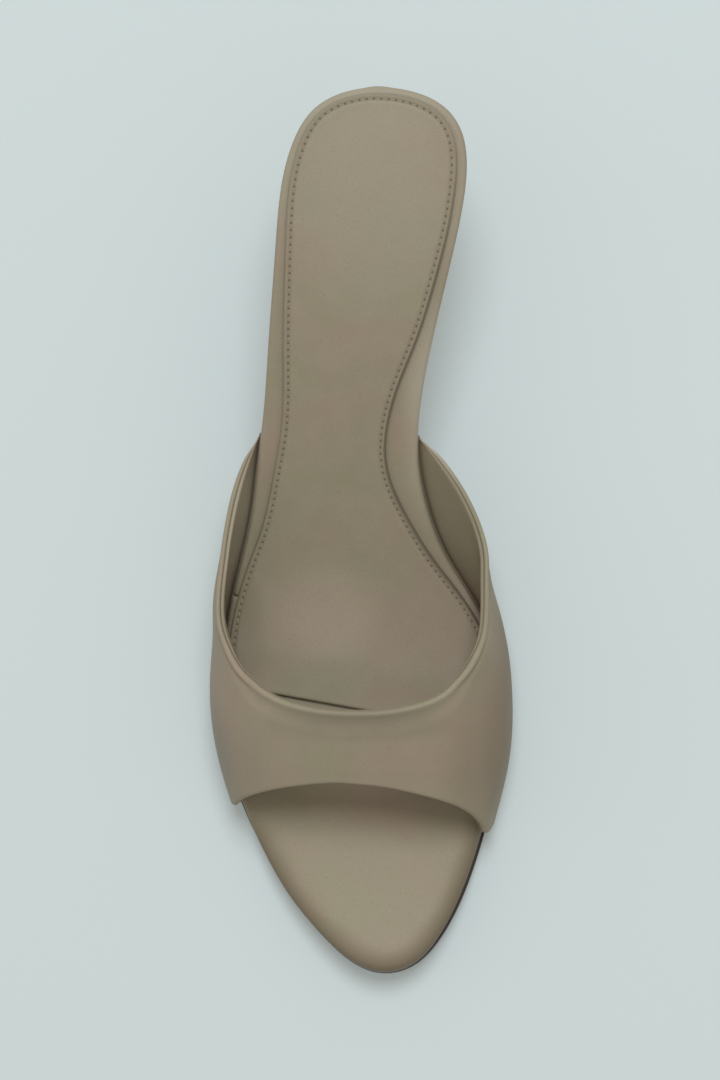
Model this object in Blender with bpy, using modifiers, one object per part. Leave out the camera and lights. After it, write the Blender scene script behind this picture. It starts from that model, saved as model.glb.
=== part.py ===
# Kitten heel mule sandal, the right shoe: outsole, footbed, sock, upper, heel and top lift.
# Metres, +Z up. The toe points to -Y, the inner side of the foot lies at +X, the floor is z = 0.

import math

import bmesh
import bpy
from mathutils import Vector

# Driving sizes
shoe_length = 0.2410
ball_width = 0.078
heel_height = 0.050
toe_spring = 0.0065
instep_height = 0.044
outsole_thickness = 0.0030
footbed_thickness = 0.0062
sock_thickness = 0.0016
upper_thickness = 0.0024
lasting_margin = 0.010
seat_length = 0.046
seat_dish = 0.0010
breast_hollow = 0.0015
top_lift_height = 0.0055

# Small sizes: joints, edge rounding and steps
seam_gap = 0.0003
footbed_edge_round = 0.0014
sock_edge_round = 0.0007
sole_edge_round = 0.0005
top_lift_edge_round = 0.0004
upper_edge_round = 0.00055
feather_fillet = 0.00025
sole_step = 0.0010
heel_inset = 0.0008
cutter_margin = 0.0030

# Heights over the outsole's top
footbed_bottom = seam_gap
footbed_top = footbed_bottom + footbed_thickness
sock_bottom = footbed_top + seam_gap
sock_top = sock_bottom + sock_thickness
margin_top = seam_gap + upper_thickness

# Edges
under_edge_share = 0.4  # rounding of the footbed's lower edge against its upper edge
halfway_round = 1 - math.sqrt(0.5)  # share of its radius that a rounding has left to go at 45 degrees
rim_angle = math.radians(60)  # edges sharper than this are the upper's rims
corner_bend = 0.9  # cosine below which a bend of a plan is a corner

# Shape of the last
tread_back = 0.655  # share of shoe_length from the heel where the flat tread starts
tread_front = 0.755  # and where it ends
seat_middle = 0.10  # share of shoe_length where the seat is widest
dish_full = 0.20  # share of shoe_length up to which the seat is fully dished
dish_end = 0.50  # and where the bottom is flat across
swell_share = 0.26  # share of the ridge height at which a wall has swelled fully
section_power = 2.4  # 2 is an ellipse, more is squarer
ridge_shift = 0.03  # ridge towards the inner side, share of ball_width

# Mesh density
bottom_ribs = 48
bottom_columns = 4
upper_columns = 44
upper_rows = 16
crowding = 0.55  # share by which the upper's columns stand closer at the feather edges

# Rise of the bottom behind the tread: share of the way to the heel, share of heel_height
shank_rows = (
    (0.00, 0.000),
    (0.12, 0.040),
    (0.28, 0.235),
    (0.45, 0.500),
    (0.62, 0.735),
    (0.80, 0.905),
    (1.00, 1.000),
)

# Outline of the footbed: share of shoe_length, outer and inner edge in shares of ball_width
outline_rows = (
    (0.000, 0.087, 0.087),
    (0.019, -0.116, 0.299),
    (0.056, -0.200, 0.377),
    (0.106, -0.245, 0.384),
    (0.180, -0.271, 0.338),
    (0.280, -0.302, 0.260),
    (0.356, -0.328, 0.217),
    (0.408, -0.354, 0.214),
    (0.460, -0.379, 0.245),
    (0.512, -0.417, 0.306),
    (0.565, -0.459, 0.400),
    (0.624, -0.487, 0.478),
    (0.686, -0.492, 0.505),
    (0.748, -0.470, 0.497),
    (0.805, -0.424, 0.459),
    (0.855, -0.358, 0.416),
    (0.908, -0.266, 0.359),
    (0.960, -0.133, 0.277),
    (0.986, -0.040, 0.208),
    (1.000, 0.088, 0.088),
)

# Footbed left bare round the sock: share of shoe_length, outer and inner rim in shares of ball_width
rim_rows = (
    (0.00, 0.020, 0.021),
    (0.10, 0.027, 0.033),
    (0.16, 0.034, 0.033),
    (0.21, 0.041, 0.038),
    (0.27, 0.052, 0.054),
    (0.32, 0.063, 0.086),
    (0.36, 0.068, 0.106),
    (0.39, 0.065, 0.111),
    (0.42, 0.059, 0.099),
    (0.45, 0.051, 0.076),
    (0.48, 0.041, 0.054),
    (0.51, 0.028, 0.036),
    (0.54, 0.021, 0.024),
    (0.58, 0.018, 0.019),
    (0.74, 0.018, 0.019),
)
sock_front_outer = 0.668  # share of shoe_length where the sock ends at its outer edge
sock_front_inner = 0.725  # and at its inner edge

# Outsole edge against the footbed's outline: share of shoe_length, outer and inner step in
# shares of sole_step, thickness in shares of outsole_thickness
sole_rows = (
    (0.19, -2.6, -2.6, 0.72),
    (0.30, -4.2, -4.4, 0.72),
    (0.40, -3.4, -4.0, 0.76),
    (0.50, -0.6, -1.4, 0.90),
    (0.58, 0.8, 0.7, 0.98),
    (0.64, 1.0, 1.0, 1.00),
    (0.71, 1.0, 1.0, 1.00),
    (0.78, 0.9, 1.0, 1.00),
    (0.86, 0.1, 0.8, 1.00),
    (0.95, 0.0, 0.6, 1.00),
    (1.00, 0.0, 0.0, 1.00),
)

# Last above the footbed: share of shoe_length, ridge height in shares of instep_height, swell
# of the inner and the outer wall beyond the feather edge in shares of ball_width
last_rows = (
    (0.36, 1.80, 0.160, 0.068),
    (0.42, 1.72, 0.194, 0.063),
    (0.48, 1.58, 0.166, 0.056),
    (0.54, 1.42, 0.097, 0.042),
    (0.60, 1.24, 0.034, 0.012),
    (0.66, 1.07, 0.006, 0.010),
    (0.72, 0.91, 0.001, 0.011),
    (0.78, 0.75, -0.005, 0.005),
    (0.86, 0.58, -0.004, 0.005),
)

# Topline and toe opening: share of the way over the last from the inner to the outer feather
# edge, share of shoe_length
topline_rows = (
    (0.00, 0.381),
    (0.02, 0.415),
    (0.04, 0.456),
    (0.08, 0.508),
    (0.13, 0.544),
    (0.18, 0.576),
    (0.23, 0.610),
    (0.30, 0.654),
    (0.40, 0.680),
    (0.50, 0.688),
    (0.60, 0.683),
    (0.70, 0.664),
    (0.78, 0.629),
    (0.83, 0.590),
    (0.88, 0.542),
    (0.925, 0.492),
    (0.965, 0.435),
    (1.00, 0.378),
)
toe_opening_rows = (
    (0.00, 0.831),
    (0.03, 0.837),
    (0.07, 0.838),
    (0.11, 0.832),
    (0.16, 0.823),
    (0.22, 0.813),
    (0.30, 0.801),
    (0.40, 0.788),
    (0.50, 0.776),
    (0.55, 0.773),
    (0.60, 0.775),
    (0.70, 0.783),
    (0.80, 0.793),
    (0.90, 0.803),
    (0.95, 0.806),
    (1.00, 0.800),
)

# Heel from seat to tip: share of its height, width in shares of the seat's, back and breast in
# shares of seat_length from the back of the seat
heel_rows = (
    (0.00, 1.000, 0.000, 1.000),
    (0.07, 0.975, 0.008, 0.975),
    (0.18, 0.880, 0.038, 0.900),
    (0.32, 0.720, 0.095, 0.790),
    (0.47, 0.560, 0.160, 0.690),
    (0.62, 0.420, 0.217, 0.605),
    (0.77, 0.325, 0.256, 0.548),
    (0.90, 0.288, 0.270, 0.525),
    (1.00, 0.282, 0.271, 0.522),
)


def spline(points, start_slope=None):
    """A smooth curve through (place, value) points: natural ends, or a set slope at the start."""
    xs, ys = zip(*points)
    n = len(xs)
    steps = [xs[i + 1] - xs[i] for i in range(n - 1)]
    lower, middle, upper, right = [0.0] * n, [1.0] * n, [0.0] * n, [0.0] * n
    for i in range(1, n - 1):
        lower[i], middle[i], upper[i] = steps[i - 1], 2 * (steps[i - 1] + steps[i]), steps[i]
        right[i] = 6 * ((ys[i + 1] - ys[i]) / steps[i] - (ys[i] - ys[i - 1]) / steps[i - 1])
    if start_slope is not None:
        middle[0], upper[0] = 2 * steps[0], steps[0]
        right[0] = 6 * ((ys[1] - ys[0]) / steps[0] - start_slope)
    for i in range(1, n):
        factor = lower[i] / middle[i - 1]
        middle[i] -= factor * upper[i - 1]
        right[i] -= factor * right[i - 1]
    bends = [0.0] * n
    bends[-1] = right[-1] / middle[-1]
    for i in range(n - 2, -1, -1):
        bends[i] = (right[i] - upper[i] * bends[i + 1]) / middle[i]

    def value(x):
        x = min(max(x, xs[0]), xs[-1])
        i = max(k for k in range(n - 1) if k == 0 or xs[k] <= x)
        before, after, step = x - xs[i], xs[i + 1] - x, steps[i]
        bent = (bends[i] * after**3 + bends[i + 1] * before**3) / (6 * step)
        start = (ys[i] / step - bends[i] * step / 6) * after
        return bent + start + (ys[i + 1] / step - bends[i + 1] * step / 6) * before

    return value


def column(rows, index):
    """The smooth curve of one column of a table against its first column."""
    return spline([(row[0], row[index]) for row in rows])


def turn(along):
    """0 at the heel's back, 1 at the toe's tip, running evenly round both ends of the outline."""
    return math.acos(1 - 2 * min(max(along, 0.0), 1.0)) / math.pi


def outline_curve():
    """The closed outline as one curve: outer side at turns 0 to 1, inner side at turns 0 to -1."""
    overlap = 0.3
    points = {}
    for along, outer, inner in outline_rows:
        at = turn(along)
        points[at] = outer
        points[-at] = inner
        if at > 1 - overlap:
            points[2 - at] = inner
            points[at - 2] = outer
    return spline(sorted(points.items()))


outline = outline_curve()
shank = spline(shank_rows, start_slope=0.0)
rim_widths = {-1: column(rim_rows, 1), 1: column(rim_rows, 2)}
sole_steps = {-1: column(sole_rows, 1), 1: column(sole_rows, 2)}
sole_share = column(sole_rows, 3)
ridge = column(last_rows, 1)
swells = {1: column(last_rows, 2), -1: column(last_rows, 3)}
topline = column(topline_rows, 1)
toe_opening = column(toe_opening_rows, 1)
heel_width, heel_back, heel_front = (column(heel_rows, index) for index in (1, 2, 3))


def edge(along, side):
    """x of the footbed's outline: side 1 is the inner one, -1 the outer one."""
    return ball_width * outline(-side * turn(along))


def rise(along):
    """Height of the outsole's top over the tread."""
    if along < tread_back:
        return heel_height * shank((tread_back - along) / tread_back)
    if along > tread_front:
        return toe_spring * ((along - tread_front) / (1 - tread_front)) ** 2
    return 0.0


def pitch(along):
    """Slope of the bottom, rise over run towards the toe."""
    step = 0.001
    return (rise(along + step) - rise(along - step)) / (2 * step * shoe_length)


def dish(along):
    """How much higher the seat's edges lie than its middle."""
    share = min(max((dish_end - along) / (dish_end - dish_full), 0.0), 1.0)
    return seat_dish * share * share * (3 - 2 * share)


def place(x, along, height):
    """The point at a height over the outsole's top, measured square to the shank line."""
    outer, inner = (edge(max(along, seat_middle), side) for side in (-1, 1))
    half_width = max((inner - outer) / 2, seam_gap)  # no less than this where the outline closes
    across = min(abs(x - (outer + inner) / 2) / half_width, 1.0)
    lean = pitch(along)
    square = height / math.sqrt(1 + lean * lean)
    y = lean * square - along * shoe_length
    z = outsole_thickness + rise(along) + dish(along) * across**2 + square
    return Vector((x, y, z))


def make_object(name, bm, material):
    """The mesh as a named object with its material."""
    mesh = bpy.data.meshes.new(name)
    bm.to_mesh(mesh)
    bm.free()
    mesh.materials.append(material)
    mesh.shade_smooth()
    mesh.set_sharp_from_angle(angle=math.radians(40))
    obj = bpy.data.objects.new(name, mesh)
    shoe.objects.link(obj)
    return obj


def make_material(name, colour, roughness):
    """A plain finish, none of it metal."""
    material = bpy.data.materials.new(name)
    material.use_nodes = True
    shader = material.node_tree.nodes["Principled BSDF"]
    shader.inputs["Base Color"].default_value = (*colour, 1.0)
    shader.inputs["Roughness"].default_value = roughness
    shader.inputs["Metallic"].default_value = 0.0
    return material


def bridge(bm, first, second):
    """Faces between two rows of corners, leaving out what has closed to a point."""
    for i in range(len(first) - 1):
        corners = []
        for vert in (first[i], first[i + 1], second[i + 1], second[i]):
            if vert not in corners:
                corners.append(vert)
        if len(corners) > 2:
            bm.faces.new(corners)


def inset_plan(points, insets):
    """A closed plan of (x, along) points with each of its edges moved inwards by its own inset."""
    normals = []
    for (x0, along0), (x1, along1) in zip(points, points[1:] + points[:1]):
        normals.append(Vector(((along1 - along0) * shoe_length, x0 - x1)).normalized())
    moved = []
    for i, (x, along) in enumerate(points):
        before, after = normals[i - 1], normals[i]
        bend = before.dot(after)
        if bend > corner_bend:
            shift = (before + after) * (insets[i - 1] + insets[i]) / 2 / (1 + bend)
        else:
            shift = before * (insets[i - 1] - insets[i] * bend) + after * (insets[i] - insets[i - 1] * bend)
            shift /= 1 - bend * bend
        moved.append((x + shift.x, along + shift.y / shoe_length))
    return moved


def is_pole(rib):
    """Whether a rib is a point, as at the tip of the toe."""
    return abs(rib[0][0] - rib[-1][0]) < 1e-6


def stack(name, ribs, levels, material):
    """A solid between a top and a bottom that share one plan.

    ribs are rows of (x, along) points from the outer to the inner edge, heel to toe. A level is
    (inset, where): how far the edges of the plan move inwards, a function of (along, side) with
    side 0 at a straight end, and the function that gives the point of a plan point.
    """
    last, width = len(ribs) - 1, len(ribs[0]) - 1
    pole = {i: is_pole(ribs[i]) for i in (0, last)}
    ring = [(i, 0) for i in range(last + 1)]
    if not pole[last]:
        ring += [(last, k) for k in range(1, width)]
    ring += [(i, width) for i in range(last if not pole[last] else last - 1, 0, -1)]
    if not pole[0]:
        ring += [(0, k) for k in range(width, 0, -1)]
    plan = [ribs[i][k] for i, k in ring]
    edges = []
    for (i0, k0), (i1, k1) in zip(ring, ring[1:] + ring[:1]):
        side = 0 if i0 == i1 else 1 if max(k0, k1) == width else -1
        edges.append(((ribs[i0][k0][1] + ribs[i1][k1][1]) / 2, side))
    bm = bmesh.new()
    rings = []
    for inset, where in levels:
        points = inset_plan(plan, [inset(along, side) for along, side in edges])
        rings.append([bm.verts.new(where(x, along)) for x, along in points])
        if len(rings) in (1, len(levels)):
            cap(bm, ribs, ring, points, rings[-1], where)
    for upper, lower in zip(rings, rings[1:]):
        bridge(bm, upper + upper[:1], lower + lower[:1])
    bmesh.ops.recalc_face_normals(bm, faces=bm.faces)
    return make_object(name, bm, material)


def cap(bm, ribs, ring, points, verts, where):
    """Closes one end of a stack with ribs from side to side."""
    last, width = len(ribs) - 1, len(ribs[0]) - 1
    corner = {key: verts[n] for n, key in enumerate(ring)}
    flat = {key: points[n] for n, key in enumerate(ring)}
    for i in (0, last):
        if is_pole(ribs[i]):
            corner.update({(i, k): corner[i, 0] for k in range(width + 1)})
    rows = []
    for i in range(last + 1):
        row = []
        for k in range(width + 1):
            if (i, k) not in corner:
                (x0, along0), (x1, along1) = flat[i, 0], flat[i, width]
                share = k / width
                x, along = x0 + (x1 - x0) * share, along0 + (along1 - along0) * share
                corner[i, k] = bm.verts.new(where(x, along))
            row.append(corner[i, k])
        rows.append(row)
    for first, second in zip(rows, rows[1:]):
        bridge(bm, first, second)


def plan_ribs(outer, inner):
    """Ribs between two lists of (x, along) points."""
    ribs = []
    for (x0, along0), (x1, along1) in zip(outer, inner):
        shares = [k / bottom_columns for k in range(bottom_columns + 1)]
        ribs.append([(x0 + (x1 - x0) * s, along0 + (along1 - along0) * s) for s in shares])
    return ribs


def flush(inset):
    """The same inset all round."""
    return lambda along, side: inset


def at_height(height):
    """Where a plan point lies on a level of the bottom."""
    return lambda x, along: place(x, along, height)


def rounded(top, bottom, radius):
    """Levels of a board whose edges are rounded, the lower one less."""
    radius = min(radius, (top - bottom) / 2)
    under = radius * under_edge_share
    return [
        (flush(radius), at_height(top)),
        (flush(radius * halfway_round), at_height(top - radius * halfway_round)),
        (flush(0.0), at_height(top - radius)),
        (flush(0.0), at_height(bottom + under)),
        (flush(under), at_height(bottom)),
    ]


def build_footbed():
    """The board that carries everything, wrapped in leather, with pockets under the upper."""
    alongs = [(1 - math.cos(math.pi * i / bottom_ribs)) / 2 for i in range(bottom_ribs + 1)]
    sides = [[(edge(along, side), along) for along in alongs] for side in (-1, 1)]
    levels = rounded(footbed_top, footbed_bottom, footbed_edge_round)
    board = stack("footbed", plan_ribs(*sides), levels, leather)
    for side, name in ((-1, "outer_margin_pocket"), (1, "inner_margin_pocket")):
        pocket = margin_pocket(name, side)
        cut = board.modifiers.new(name, "BOOLEAN")
        cut.operation = "DIFFERENCE"
        cut.object = pocket
    return board


def margin_pocket(name, side):
    """Cuts the room for the upper's lasting margin under one edge of the footbed."""
    around = 0.0 if side > 0 else 1.0
    start = topline(around) - seam_gap / shoe_length
    end = toe_opening(around) + seam_gap / shoe_length
    floor, roof = -cutter_margin, margin_top + seam_gap
    depth = lasting_margin + seam_gap
    count = bottom_ribs // 2
    bm = bmesh.new()
    rows = []
    for i in range(count + 1):
        along = start + (end - start) * i / count
        x_in, x_out = edge(along, side) - side * depth, edge(along, side) + side * cutter_margin
        corners = ((x_in, floor), (x_in, roof), (x_out, roof), (x_out, floor))
        rows.append([bm.verts.new(place(x, along, height)) for x, height in corners])
    for first, second in zip(rows, rows[1:]):
        bridge(bm, first + first[:1], second + second[:1])
    bm.faces.new(rows[0])
    bm.faces.new(rows[-1])
    bmesh.ops.recalc_face_normals(bm, faces=bm.faces)
    obj = make_object(name, bm, leather)
    shoe.objects.unlink(obj)
    cutters.objects.link(obj)
    obj.hide_render = True
    obj.display_type = "WIRE"
    return obj


def build_sock():
    """The padded sock on the footbed, from the heel to a slanted edge under the throat."""
    sides = []
    for side, front in ((-1, sock_front_outer), (1, sock_front_inner)):
        shares = [1 - math.cos(math.pi / 2 * i / bottom_ribs) for i in range(bottom_ribs + 1)]
        sides.append([(edge(front * share, side), front * share) for share in shares])
    ribs = plan_ribs(*sides)

    def rim(extra):
        return lambda along, side: extra + (ball_width * rim_widths[side](along) if side else 0.0)

    radius = min(sock_edge_round, sock_thickness / 2)
    levels = [
        (rim(radius), at_height(sock_top)),
        (rim(radius * halfway_round), at_height(sock_top - radius * halfway_round)),
        (rim(0.0), at_height(sock_top - radius)),
        (rim(0.0), at_height(sock_bottom)),
    ]
    return stack("sock", ribs, levels, sock_leather)


def build_outsole():
    """The thin sole from the heel's breast to the toe, narrower under the waist."""
    start = seat_length / shoe_length
    turns = [math.sin(math.pi / 2 * i / bottom_ribs) for i in range(bottom_ribs + 1)]
    alongs = [start + (1 - start) * turned for turned in turns]
    ribs = plan_ribs(*[[(edge(along, side), along) for along in alongs] for side in (-1, 1)])
    follow_breast(ribs[0], seam_gap)

    def step(extra):
        return lambda along, side: extra - sole_step * sole_steps[side](along) if side else extra

    def under(lift):
        return lambda x, along: place(x, along, lift - outsole_thickness * min(sole_share(along), 1.0))

    radius = min(sole_edge_round, outsole_thickness / 4)
    levels = [
        (step(radius), at_height(0.0)),
        (step(0.0), at_height(-radius)),
        (step(0.0), under(radius)),
        (step(radius), under(0.0)),
    ]
    return stack("outsole", ribs, levels, sole_leather)


def follow_breast(rib, gap):
    """Hollows a rib like the heel's breast, a gap in front of it."""
    for k, (x, along) in enumerate(rib):
        hollow = breast_hollow * math.sin(math.pi * k / bottom_columns)
        rib[k] = (x, along + (gap - hollow) / shoe_length)


def heel_ribs():
    """Plan of the heel seat, from the back to the breast."""
    front = seat_length / shoe_length
    count = bottom_ribs // 2
    alongs = [front * (1 - math.cos(math.pi / 2 * i / count)) for i in range(count + 1)]
    ribs = plan_ribs(*[[(edge(along, side), along) for along in alongs] for side in (-1, 1)])
    follow_breast(ribs[-1], 0.0)
    return ribs


def heel_point(down, z_end):
    """Where a plan point of the seat lies, a share of the way down the heel."""
    middle = sum(edge(seat_length / 2 / shoe_length, side) for side in (-1, 1)) / 2

    def where(x, along):
        seat = place(x, along, 0.0)
        back, front = heel_back(down) * seat_length, heel_front(down) * seat_length
        y = -(back + along * shoe_length / seat_length * (front - back))
        y += (seat.y + along * shoe_length) * (1 - down)
        z = seat.z + (z_end - seat.z) * down
        return Vector((middle + (x - middle) * heel_width(down), y, z))

    return where


def heel_edge(extra):
    """How far the heel's plan lies inside the footbed's: not at all along the breast."""
    return lambda along, side: extra + heel_inset * abs(side)


def build_heel():
    """The slim moulded heel under its leather cover."""
    downs = (0.0, 0.03, 0.07, 0.13, 0.20, 0.28, 0.37, 0.47, 0.58, 0.70, 0.85, 1.0)
    levels = [(heel_edge(0.0), heel_point(down, top_lift_height + seam_gap)) for down in downs]
    return stack("heel", heel_ribs(), levels, leather)


def build_top_lift():
    """The hard-wearing tip that the heel stands on."""
    tip = heel_point(1.0, 0.0)

    def level(z):
        def where(x, along):
            point = tip(x, along)
            point.z = z
            return point
        return where

    radius = min(top_lift_edge_round, top_lift_height / 2)
    levels = [
        (heel_edge(0.0), level(top_lift_height)),
        (heel_edge(0.0), level(radius)),
        (heel_edge(radius), level(0.0)),
    ]
    return stack("top_lift", heel_ribs(), levels, rubber)


def upper_stops():
    """What the upper's inner face passes through on its way over the foot, inner side first.

    Each stop is (share of the way over the last, function of the station).
    """
    def margin(side, inset, height):
        return lambda along: place(edge(along, side) + side * (seam_gap - inset), along, height)

    low = []
    for share in (1.0, 0.5):
        low.append((feather_fillet + lasting_margin * share, margin_top))
    for angle in (0.0, math.pi / 4):
        inset = feather_fillet * (1 - math.sin(angle))
        low.append((inset, margin_top + feather_fillet * (1 - math.cos(angle))))
    stops = [(0.0, margin(1, *stop)) for stop in low]
    for i in range(upper_columns + 1):
        share = i / upper_columns
        around = share - crowding * math.sin(2 * math.pi * share) / (2 * math.pi)
        stops.append((around, lambda along, around=around: last_point(along, around)))
    stops += [(1.0, margin(-1, *stop)) for stop in reversed(low)]
    return stops


def last_point(along, around):
    """A point of the last, a share of the way over it from the inner to the outer feather edge."""
    side = 1 if around < 0.5 else -1
    angle = math.pi * around
    out, up = (max(wave, 0.0) ** (2 / section_power) for wave in (abs(math.cos(angle)), math.sin(angle)))
    feather = {s: edge(along, s) + s * seam_gap for s in (-1, 1)}
    middle = (feather[-1] + feather[1]) / 2 + ridge_shift * ball_width
    swell = swells[side](along) * ball_width * math.sin(math.pi / 2 * min(up / swell_share, 1.0))
    low = margin_top + feather_fillet
    x = middle + (feather[side] - middle + side * swell) * out
    return place(x, along, low + (ridge(along) * instep_height - low) * up)


def build_upper():
    """The vamp band: one hollow wall from under one edge of the footbed to under the other."""
    bm = bmesh.new()
    rows = []
    for around, where in upper_stops():
        front, back = toe_opening(around), topline(around)
        alongs = [front + (back - front) * i / upper_rows for i in range(upper_rows + 1)]
        rows.append([bm.verts.new(where(along)) for along in alongs])
    for first, second in zip(rows, rows[1:]):
        bridge(bm, first, second)
    band = make_object("upper", bm, leather)
    wall = band.modifiers.new("wall", "SOLIDIFY")
    wall.thickness = upper_thickness
    wall.offset = 1.0
    wall.use_even_offset = True
    rims = band.modifiers.new("rounded_rims", "BEVEL")
    rims.width = min(upper_edge_round, upper_thickness / 3)
    rims.segments = 2
    rims.limit_method = "ANGLE"
    rims.angle_limit = rim_angle
    return band


def centre_over_floor(parts):
    """Carries the parts on an empty that puts the middle of their box over the origin."""
    holder = bpy.data.objects.new("kitten_heel_sandal", None)
    shoe.objects.link(holder)
    graph = bpy.context.evaluated_depsgraph_get()
    corners = [corner for part in parts for corner in part.evaluated_get(graph).bound_box]
    for axis in (0, 1):
        values = [corner[axis] for corner in corners]
        holder.location[axis] = -(min(values) + max(values)) / 2
    for obj in [*parts, *cutters.objects]:
        obj.parent = holder


for old in list(bpy.data.objects):
    bpy.data.objects.remove(old)
shoe = bpy.data.collections.new("kitten_heel_sandal")
cutters = bpy.data.collections.new("cutters")
for collection in (shoe, cutters):
    bpy.context.scene.collection.children.link(collection)

leather = make_material("leather", (0.30, 0.26, 0.19), 0.5)
sock_leather = make_material("sock_leather", (0.29, 0.25, 0.185), 0.55)
sole_leather = make_material("sole_leather", (0.035, 0.018, 0.012), 0.4)
rubber = make_material("rubber", (0.03, 0.022, 0.018), 0.6)

centre_over_floor([
    build_outsole(),
    build_footbed(),
    build_sock(),
    build_upper(),
    build_heel(),
    build_top_lift(),
])
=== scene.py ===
import bisect
import math

import bmesh
import bpy
from mathutils import Matrix, Vector
from mathutils.kdtree import KDTree


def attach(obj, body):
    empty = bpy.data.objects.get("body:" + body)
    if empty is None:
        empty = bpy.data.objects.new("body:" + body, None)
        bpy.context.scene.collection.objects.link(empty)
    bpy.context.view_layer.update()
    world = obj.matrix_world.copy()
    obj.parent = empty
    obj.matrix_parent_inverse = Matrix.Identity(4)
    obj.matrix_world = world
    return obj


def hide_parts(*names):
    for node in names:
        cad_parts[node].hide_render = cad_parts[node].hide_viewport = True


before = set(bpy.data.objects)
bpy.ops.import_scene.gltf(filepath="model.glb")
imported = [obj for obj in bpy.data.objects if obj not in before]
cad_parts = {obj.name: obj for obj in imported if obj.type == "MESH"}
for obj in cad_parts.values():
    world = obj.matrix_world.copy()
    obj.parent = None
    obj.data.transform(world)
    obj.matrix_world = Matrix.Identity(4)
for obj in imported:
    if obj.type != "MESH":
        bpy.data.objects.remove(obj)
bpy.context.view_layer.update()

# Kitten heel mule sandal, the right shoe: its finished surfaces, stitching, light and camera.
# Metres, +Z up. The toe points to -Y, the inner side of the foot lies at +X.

scene = bpy.context.scene
print("frame loaded:", ", ".join(sorted(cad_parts)))

# Sizes the pieces share, the same as in the solids
shoe = {
    "length": 0.2410,
    "ballWidth": 0.078,
    "heelHeight": 0.050,
    "toeSpring": 0.0065,
    "instepHeight": 0.044,
    "seamGap": 0.0003,
    "treadBack": 0.655,      # shares of the length from the heel
    "treadFront": 0.755,
    "seatMiddle": 0.10,
    "seatDish": 0.0010,
    "dishFull": 0.20,
    "dishEnd": 0.50,
    "seatLength": 0.046,
    "breastHollow": 0.0015,
    "outsoleThickness": 0.0030,
    "upperThickness": 0.0024,
    "lastingMargin": 0.010,
    "middle": (-0.000292, 0.120795),  # where the back of the heel's outline starts, in the frame
}

# Rise of the bottom behind the tread: share of the way to the heel, share of the heel's height
shankRows = (
    (0.00, 0.000),
    (0.12, 0.040),
    (0.28, 0.235),
    (0.45, 0.500),
    (0.62, 0.735),
    (0.80, 0.905),
    (1.00, 1.000),
)

# Outline of the footbed: share of the length, outer and inner edge in shares of the ball's width
outlineRows = (
    (0.000, 0.087, 0.087),
    (0.019, -0.116, 0.299),
    (0.056, -0.200, 0.377),
    (0.106, -0.245, 0.384),
    (0.180, -0.271, 0.338),
    (0.280, -0.302, 0.260),
    (0.356, -0.328, 0.217),
    (0.408, -0.354, 0.214),
    (0.460, -0.379, 0.245),
    (0.512, -0.417, 0.306),
    (0.565, -0.459, 0.400),
    (0.624, -0.487, 0.478),
    (0.686, -0.492, 0.505),
    (0.748, -0.470, 0.497),
    (0.805, -0.424, 0.459),
    (0.855, -0.358, 0.416),
    (0.908, -0.266, 0.359),
    (0.960, -0.133, 0.277),
    (0.986, -0.040, 0.208),
    (1.000, 0.088, 0.088),
)

# Topline and toe opening of the upper: share of the way over the last from the inner to the
# outer feather edge, share of the length
toplineRows = (
    (0.00, 0.381),
    (0.02, 0.415),
    (0.04, 0.456),
    (0.08, 0.508),
    (0.13, 0.544),
    (0.18, 0.576),
    (0.23, 0.610),
    (0.30, 0.654),
    (0.40, 0.680),
    (0.50, 0.688),
    (0.60, 0.683),
    (0.70, 0.664),
    (0.78, 0.629),
    (0.83, 0.590),
    (0.88, 0.542),
    (0.925, 0.492),
    (0.965, 0.435),
    (1.00, 0.378),
)
toeOpeningRows = (
    (0.00, 0.831),
    (0.03, 0.837),
    (0.07, 0.838),
    (0.11, 0.832),
    (0.16, 0.823),
    (0.22, 0.813),
    (0.30, 0.801),
    (0.40, 0.788),
    (0.50, 0.776),
    (0.55, 0.773),
    (0.60, 0.775),
    (0.70, 0.783),
    (0.80, 0.793),
    (0.90, 0.803),
    (0.95, 0.806),
    (1.00, 0.800),
)


def smoothCurve(points, startSlope=None):
    # a smooth curve through (place, value) points, with natural ends or a set slope at its start
    xs, ys = zip(*points)
    n = len(xs)
    steps = [xs[i + 1] - xs[i] for i in range(n - 1)]
    lower, middle, upper, right = [0.0] * n, [1.0] * n, [0.0] * n, [0.0] * n
    for i in range(1, n - 1):
        lower[i], middle[i], upper[i] = steps[i - 1], 2 * (steps[i - 1] + steps[i]), steps[i]
        right[i] = 6 * ((ys[i + 1] - ys[i]) / steps[i] - (ys[i] - ys[i - 1]) / steps[i - 1])
    if startSlope is not None:
        middle[0], upper[0] = 2 * steps[0], steps[0]
        right[0] = 6 * ((ys[1] - ys[0]) / steps[0] - startSlope)
    for i in range(1, n):
        factor = lower[i] / middle[i - 1]
        middle[i] -= factor * upper[i - 1]
        right[i] -= factor * right[i - 1]
    bends = [0.0] * n
    bends[-1] = right[-1] / middle[-1]
    for i in range(n - 2, -1, -1):
        bends[i] = (right[i] - upper[i] * bends[i + 1]) / middle[i]

    def value(x):
        x = min(max(x, xs[0]), xs[-1])
        i = min(max(bisect.bisect_right(xs, x) - 1, 0), n - 2)
        before, after, step = x - xs[i], xs[i + 1] - x, steps[i]
        bent = (bends[i] * after**3 + bends[i + 1] * before**3) / (6 * step)
        start = (ys[i] / step - bends[i] * step / 6) * after
        return bent + start + (ys[i + 1] / step - bends[i + 1] * step / 6) * before

    return value


def tableCurve(rows, index):
    return smoothCurve([(row[0], row[index]) for row in rows])


def easeInOut(share):
    share = min(max(share, 0.0), 1.0)
    return share * share * (3 - 2 * share)


def bump(x, middle, reach):
    # a soft hill, 1 at its middle and 0 beyond its reach
    return 1 - easeInOut(abs(x - middle) / reach)


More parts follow.
